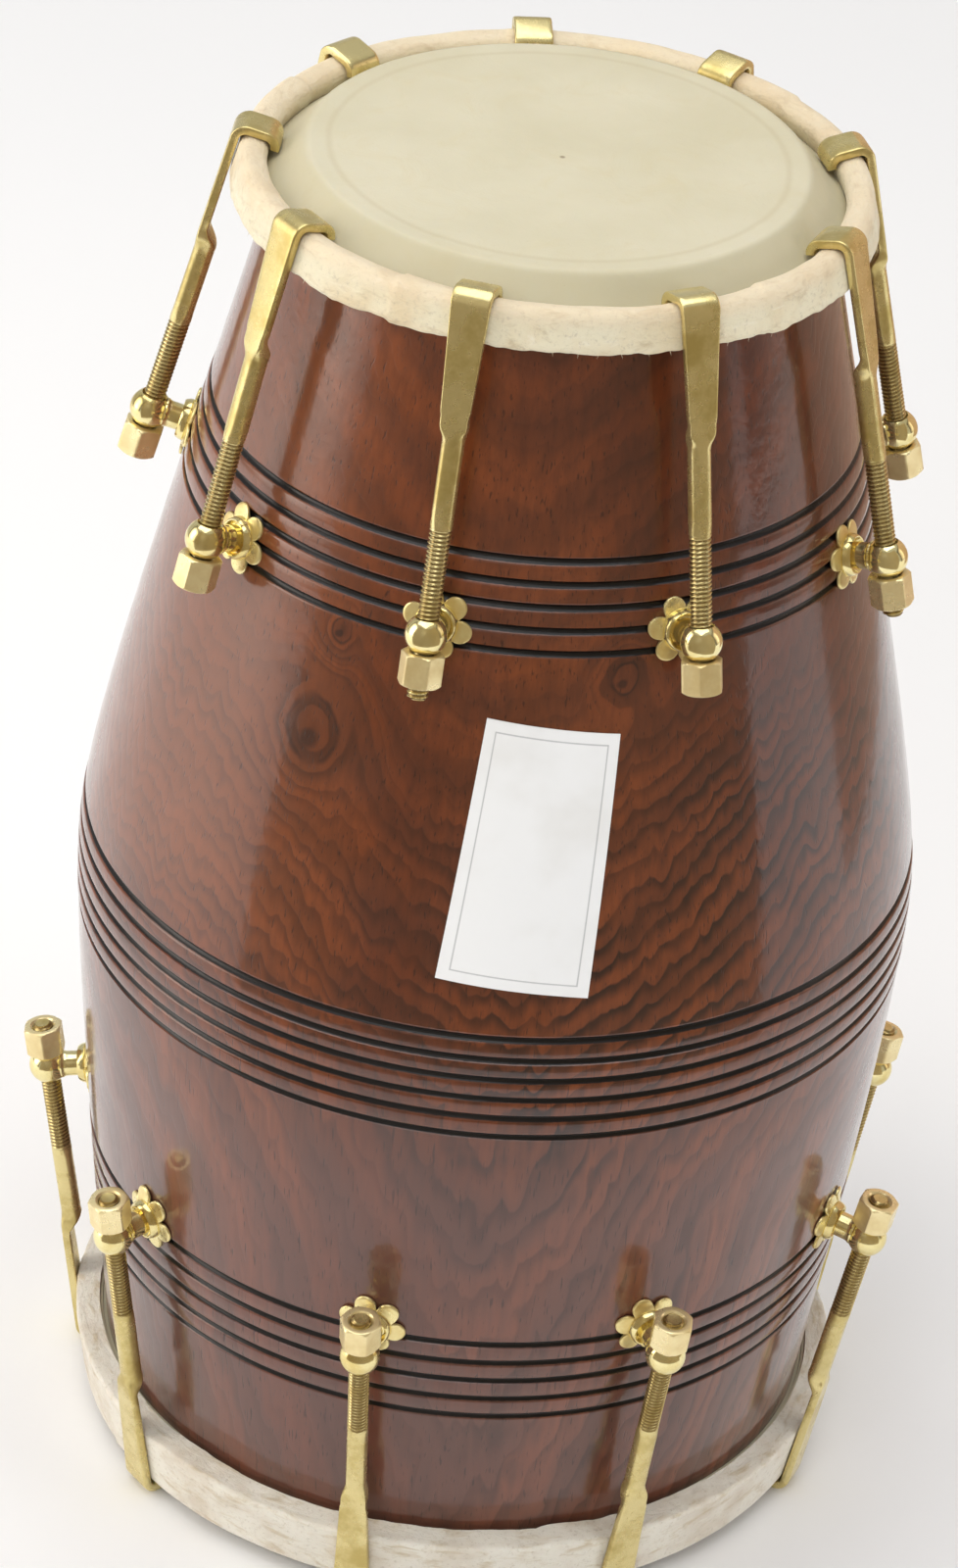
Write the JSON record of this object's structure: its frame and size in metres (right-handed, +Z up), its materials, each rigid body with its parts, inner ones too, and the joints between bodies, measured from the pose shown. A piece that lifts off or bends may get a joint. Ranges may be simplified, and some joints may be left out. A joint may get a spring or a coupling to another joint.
{
  "type": "two-headed barrel drum",
  "caption": "Upright two-headed wooden barrel drum with rawhide heads drawn on by brass hooks, ball eye bolts and tuning nuts.",
  "frame": {"origin": "centre of the bass playing face, on the floor that the drum stands on", "axes": "+Z up along the drum's axis, from the bass head to the treble head; -Y towards the side that carries the label"},
  "size_m": [0.2744, 0.2775, 0.4312],
  "materials": {
    "lacquered_rosewood": "high-gloss lacquer over turned rosewood, grooves painted black",
    "rawhide_skin": "stretched smooth rawhide",
    "hide_wrap": "rough rawhide wrap",
    "polished_brass": "mirror polish",
    "satin_brass": "ground and lightly tarnished",
    "nut_brass": "satin, turned",
    "plated_steel": "zinc plated",
    "hoop_iron": "black bar",
    "tuning_paste": "matte, crazed",
    "label_paper": "coated paper"
  },
  "bodies": {
    "drum": {"shell": "lacquered_rosewood", "treble_skin": "rawhide_skin", "bass_skin": "rawhide_skin", "treble_hoop_core": "hoop_iron", "bass_hoop_core": "hoop_iron", "treble_hoop_wrap": "hide_wrap", "bass_hoop_wrap": "hide_wrap", "treble_eye_bolts": "polished_brass", "bass_eye_bolts": "polished_brass", "treble_flower_washers": "polished_brass", "bass_flower_washers": "polished_brass", "treble_inner_washers": "plated_steel", "bass_inner_washers": "plated_steel", "treble_inner_nuts": "plated_steel", "bass_inner_nuts": "plated_steel", "bass_head_paste": "tuning_paste", "label": "label_paper"},
    "treble_hook_1": {"treble_hook_1": "satin_brass"},
    "treble_nut_1": {"treble_nut_1": "nut_brass"},
    "treble_hook_2": {"treble_hook_2": "satin_brass"},
    "treble_nut_2": {"treble_nut_2": "nut_brass"},
    "treble_hook_3": {"treble_hook_3": "satin_brass"},
    "treble_nut_3": {"treble_nut_3": "nut_brass"},
    "treble_hook_4": {"treble_hook_4": "satin_brass"},
    "treble_nut_4": {"treble_nut_4": "nut_brass"},
    "treble_hook_5": {"treble_hook_5": "satin_brass"},
    "treble_nut_5": {"treble_nut_5": "nut_brass"},
    "treble_hook_6": {"treble_hook_6": "satin_brass"},
    "treble_nut_6": {"treble_nut_6": "nut_brass"},
    "treble_hook_7": {"treble_hook_7": "satin_brass"},
    "treble_nut_7": {"treble_nut_7": "nut_brass"},
    "treble_hook_8": {"treble_hook_8": "satin_brass"},
    "treble_nut_8": {"treble_nut_8": "nut_brass"},
    "treble_hook_9": {"treble_hook_9": "satin_brass"},
    "treble_nut_9": {"treble_nut_9": "nut_brass"},
    "bass_hook_1": {"bass_hook_1": "satin_brass"},
    "bass_nut_1": {"bass_nut_1": "nut_brass"},
    "bass_hook_2": {"bass_hook_2": "satin_brass"},
    "bass_nut_2": {"bass_nut_2": "nut_brass"},
    "bass_hook_3": {"bass_hook_3": "satin_brass"},
    "bass_nut_3": {"bass_nut_3": "nut_brass"},
    "bass_hook_4": {"bass_hook_4": "satin_brass"},
    "bass_nut_4": {"bass_nut_4": "nut_brass"},
    "bass_hook_5": {"bass_hook_5": "satin_brass"},
    "bass_nut_5": {"bass_nut_5": "nut_brass"},
    "bass_hook_6": {"bass_hook_6": "satin_brass"},
    "bass_nut_6": {"bass_nut_6": "nut_brass"},
    "bass_hook_7": {"bass_hook_7": "satin_brass"},
    "bass_nut_7": {"bass_nut_7": "nut_brass"},
    "bass_hook_8": {"bass_hook_8": "satin_brass"},
    "bass_nut_8": {"bass_nut_8": "nut_brass"},
    "bass_hook_9": {"bass_hook_9": "satin_brass"},
    "bass_nut_9": {"bass_nut_9": "nut_brass"}
  },
  "joints": [
    {"name": "treble_nut_1_turn", "type": "hinge", "parent": "drum", "child": "treble_nut_1", "pos_m": [-0.11168, 0.00507, 0.3352], "axis": [-0.2366, 0.0107, -0.9715], "range_deg": [0, 2162]},
    {"name": "treble_hook_1_slide", "type": "slide", "parent": "drum", "child": "treble_hook_1", "axis": [0.2366, -0.0107, 0.9715], "range_m": [0, 0.00762]},
    {"name": "treble_nut_2_turn", "type": "hinge", "parent": "drum", "child": "treble_nut_2", "pos_m": [-0.08882, -0.0679, 0.3352], "axis": [-0.1881, -0.1438, -0.9715], "range_deg": [0, 2162]},
    {"name": "treble_hook_2_slide", "type": "slide", "parent": "drum", "child": "treble_hook_2", "axis": [0.1881, 0.1438, 0.9715], "range_m": [0, 0.00762]},
    {"name": "treble_nut_3_turn", "type": "hinge", "parent": "drum", "child": "treble_nut_3", "pos_m": [-0.02439, -0.10911, 0.3352], "axis": [-0.0517, -0.2311, -0.9715], "range_deg": [0, 2162]},
    {"name": "treble_hook_3_slide", "type": "slide", "parent": "drum", "child": "treble_hook_3", "axis": [0.0517, 0.2311, 0.9715], "range_m": [0, 0.00762]},
    {"name": "treble_nut_4_turn", "type": "hinge", "parent": "drum", "child": "treble_nut_4", "pos_m": [0.05145, -0.09926, 0.3352], "axis": [0.109, -0.2103, -0.9715], "range_deg": [0, 2162]},
    {"name": "treble_hook_4_slide", "type": "slide", "parent": "drum", "child": "treble_hook_4", "axis": [-0.109, 0.2103, 0.9715], "range_m": [0, 0.00762]},
    {"name": "treble_nut_5_turn", "type": "hinge", "parent": "drum", "child": "treble_nut_5", "pos_m": [0.10321, -0.04296, 0.3352], "axis": [0.2187, -0.091, -0.9715], "range_deg": [0, 2162]},
    {"name": "treble_hook_5_slide", "type": "slide", "parent": "drum", "child": "treble_hook_5", "axis": [-0.2187, 0.091, 0.9715], "range_m": [0, 0.00762]},
    {"name": "treble_nut_6_turn", "type": "hinge", "parent": "drum", "child": "treble_nut_6", "pos_m": [0.10668, 0.03343, 0.3352], "axis": [0.226, 0.0708, -0.9715], "range_deg": [0, 2162]},
    {"name": "treble_hook_6_slide", "type": "slide", "parent": "drum", "child": "treble_hook_6", "axis": [-0.226, -0.0708, 0.9715], "range_m": [0, 0.00762]},
    {"name": "treble_nut_7_turn", "type": "hinge", "parent": "drum", "child": "treble_nut_7", "pos_m": [0.06023, 0.09419, 0.3352], "axis": [0.1276, 0.1995, -0.9715], "range_deg": [0, 2162]},
    {"name": "treble_hook_7_slide", "type": "slide", "parent": "drum", "child": "treble_hook_7", "axis": [-0.1276, -0.1995, 0.9715], "range_m": [0, 0.00762]},
    {"name": "treble_nut_8_turn", "type": "hinge", "parent": "drum", "child": "treble_nut_8", "pos_m": [-0.0144, 0.11087, 0.3352], "axis": [-0.0305, 0.2349, -0.9715], "range_deg": [0, 2162]},
    {"name": "treble_hook_8_slide", "type": "slide", "parent": "drum", "child": "treble_hook_8", "axis": [0.0305, -0.2349, 0.9715], "range_m": [0, 0.00762]},
    {"name": "treble_nut_9_turn", "type": "hinge", "parent": "drum", "child": "treble_nut_9", "pos_m": [-0.0823, 0.07567, 0.3352], "axis": [-0.1743, 0.1603, -0.9715], "range_deg": [0, 2162]},
    {"name": "treble_hook_9_slide", "type": "slide", "parent": "drum", "child": "treble_hook_9", "axis": [0.1743, -0.1603, 0.9715], "range_m": [0, 0.00762]},
    {"name": "bass_nut_1_turn", "type": "hinge", "parent": "drum", "child": "bass_nut_1", "pos_m": [-0.13227, 0.003, 0.1012], "axis": [-0.1667, 0.0038, 0.986], "range_deg": [0, 2162]},
    {"name": "bass_hook_1_slide", "type": "slide", "parent": "drum", "child": "bass_hook_1", "axis": [0.1667, -0.0038, -0.986], "range_m": [0, 0.00762]},
    {"name": "bass_nut_2_turn", "type": "hinge", "parent": "drum", "child": "bass_nut_2", "pos_m": [-0.10325, -0.08272, 0.1012], "axis": [-0.1302, -0.1043, 0.986], "range_deg": [0, 2162]},
    {"name": "bass_hook_2_slide", "type": "slide", "parent": "drum", "child": "bass_hook_2", "axis": [0.1302, 0.1043, -0.986], "range_m": [0, 0.00762]},
    {"name": "bass_nut_3_turn", "type": "hinge", "parent": "drum", "child": "bass_nut_3", "pos_m": [-0.02592, -0.12974, 0.1012], "axis": [-0.0327, -0.1635, 0.986], "range_deg": [0, 2162]},
    {"name": "bass_hook_3_slide", "type": "slide", "parent": "drum", "child": "bass_hook_3", "axis": [0.0327, 0.1635, -0.986], "range_m": [0, 0.00762]},
    {"name": "bass_nut_4_turn", "type": "hinge", "parent": "drum", "child": "bass_nut_4", "pos_m": [0.06353, -0.11605, 0.1012], "axis": [0.0801, -0.1463, 0.986], "range_deg": [0, 2162]},
    {"name": "bass_hook_4_slide", "type": "slide", "parent": "drum", "child": "bass_hook_4", "axis": [-0.0801, 0.1463, -0.986], "range_m": [0, 0.00762]},
    {"name": "bass_nut_5_turn", "type": "hinge", "parent": "drum", "child": "bass_nut_5", "pos_m": [0.12326, -0.04806, 0.1012], "axis": [0.1554, -0.0606, 0.986], "range_deg": [0, 2162]},
    {"name": "bass_hook_5_slide", "type": "slide", "parent": "drum", "child": "bass_hook_5", "axis": [-0.1554, 0.0606, -0.986], "range_m": [0, 0.00762]},
    {"name": "bass_nut_6_turn", "type": "hinge", "parent": "drum", "child": "bass_nut_6", "pos_m": [0.12532, 0.04242, 0.1012], "axis": [0.158, 0.0535, 0.986], "range_deg": [0, 2162]},
    {"name": "bass_hook_6_slide", "type": "slide", "parent": "drum", "child": "bass_hook_6", "axis": [-0.158, -0.0535, -0.986], "range_m": [0, 0.00762]},
    {"name": "bass_nut_7_turn", "type": "hinge", "parent": "drum", "child": "bass_nut_7", "pos_m": [0.06873, 0.11304, 0.1012], "axis": [0.0866, 0.1425, 0.986], "range_deg": [0, 2162]},
    {"name": "bass_hook_7_slide", "type": "slide", "parent": "drum", "child": "bass_hook_7", "axis": [-0.0866, -0.1425, -0.986], "range_m": [0, 0.00762]},
    {"name": "bass_nut_8_turn", "type": "hinge", "parent": "drum", "child": "bass_nut_8", "pos_m": [-0.02001, 0.13078, 0.1012], "axis": [-0.0252, 0.1648, 0.986], "range_deg": [0, 2162]},
    {"name": "bass_hook_8_slide", "type": "slide", "parent": "drum", "child": "bass_hook_8", "axis": [0.0252, -0.1648, -0.986], "range_m": [0, 0.00762]},
    {"name": "bass_nut_9_turn", "type": "hinge", "parent": "drum", "child": "bass_nut_9", "pos_m": [-0.09939, 0.08732, 0.1012], "axis": [-0.1253, 0.1101, 0.986], "range_deg": [0, 2162]},
    {"name": "bass_hook_9_slide", "type": "slide", "parent": "drum", "child": "bass_hook_9", "axis": [0.1253, -0.1101, -0.986], "range_m": [0, 0.00762]}
  ],
  "couplings": [
    {"joint": "treble_nut_1_turn", "follows": "treble_hook_1_slide", "rad_per_m": 4947.4},
    {"joint": "treble_nut_2_turn", "follows": "treble_hook_2_slide", "rad_per_m": 4947.4},
    {"joint": "treble_nut_3_turn", "follows": "treble_hook_3_slide", "rad_per_m": 4947.4},
    {"joint": "treble_nut_4_turn", "follows": "treble_hook_4_slide", "rad_per_m": 4947.4},
    {"joint": "treble_nut_5_turn", "follows": "treble_hook_5_slide", "rad_per_m": 4947.4},
    {"joint": "treble_nut_6_turn", "follows": "treble_hook_6_slide", "rad_per_m": 4947.4},
    {"joint": "treble_nut_7_turn", "follows": "treble_hook_7_slide", "rad_per_m": 4947.4},
    {"joint": "treble_nut_8_turn", "follows": "treble_hook_8_slide", "rad_per_m": 4947.4},
    {"joint": "treble_nut_9_turn", "follows": "treble_hook_9_slide", "rad_per_m": 4947.4},
    {"joint": "bass_nut_1_turn", "follows": "bass_hook_1_slide", "rad_per_m": 4947.4},
    {"joint": "bass_nut_2_turn", "follows": "bass_hook_2_slide", "rad_per_m": 4947.4},
    {"joint": "bass_nut_3_turn", "follows": "bass_hook_3_slide", "rad_per_m": 4947.4},
    {"joint": "bass_nut_4_turn", "follows": "bass_hook_4_slide", "rad_per_m": 4947.4},
    {"joint": "bass_nut_5_turn", "follows": "bass_hook_5_slide", "rad_per_m": 4947.4},
    {"joint": "bass_nut_6_turn", "follows": "bass_hook_6_slide", "rad_per_m": 4947.4},
    {"joint": "bass_nut_7_turn", "follows": "bass_hook_7_slide", "rad_per_m": 4947.4},
    {"joint": "bass_nut_8_turn", "follows": "bass_hook_8_slide", "rad_per_m": 4947.4},
    {"joint": "bass_nut_9_turn", "follows": "bass_hook_9_slide", "rad_per_m": 4947.4}
  ]
}
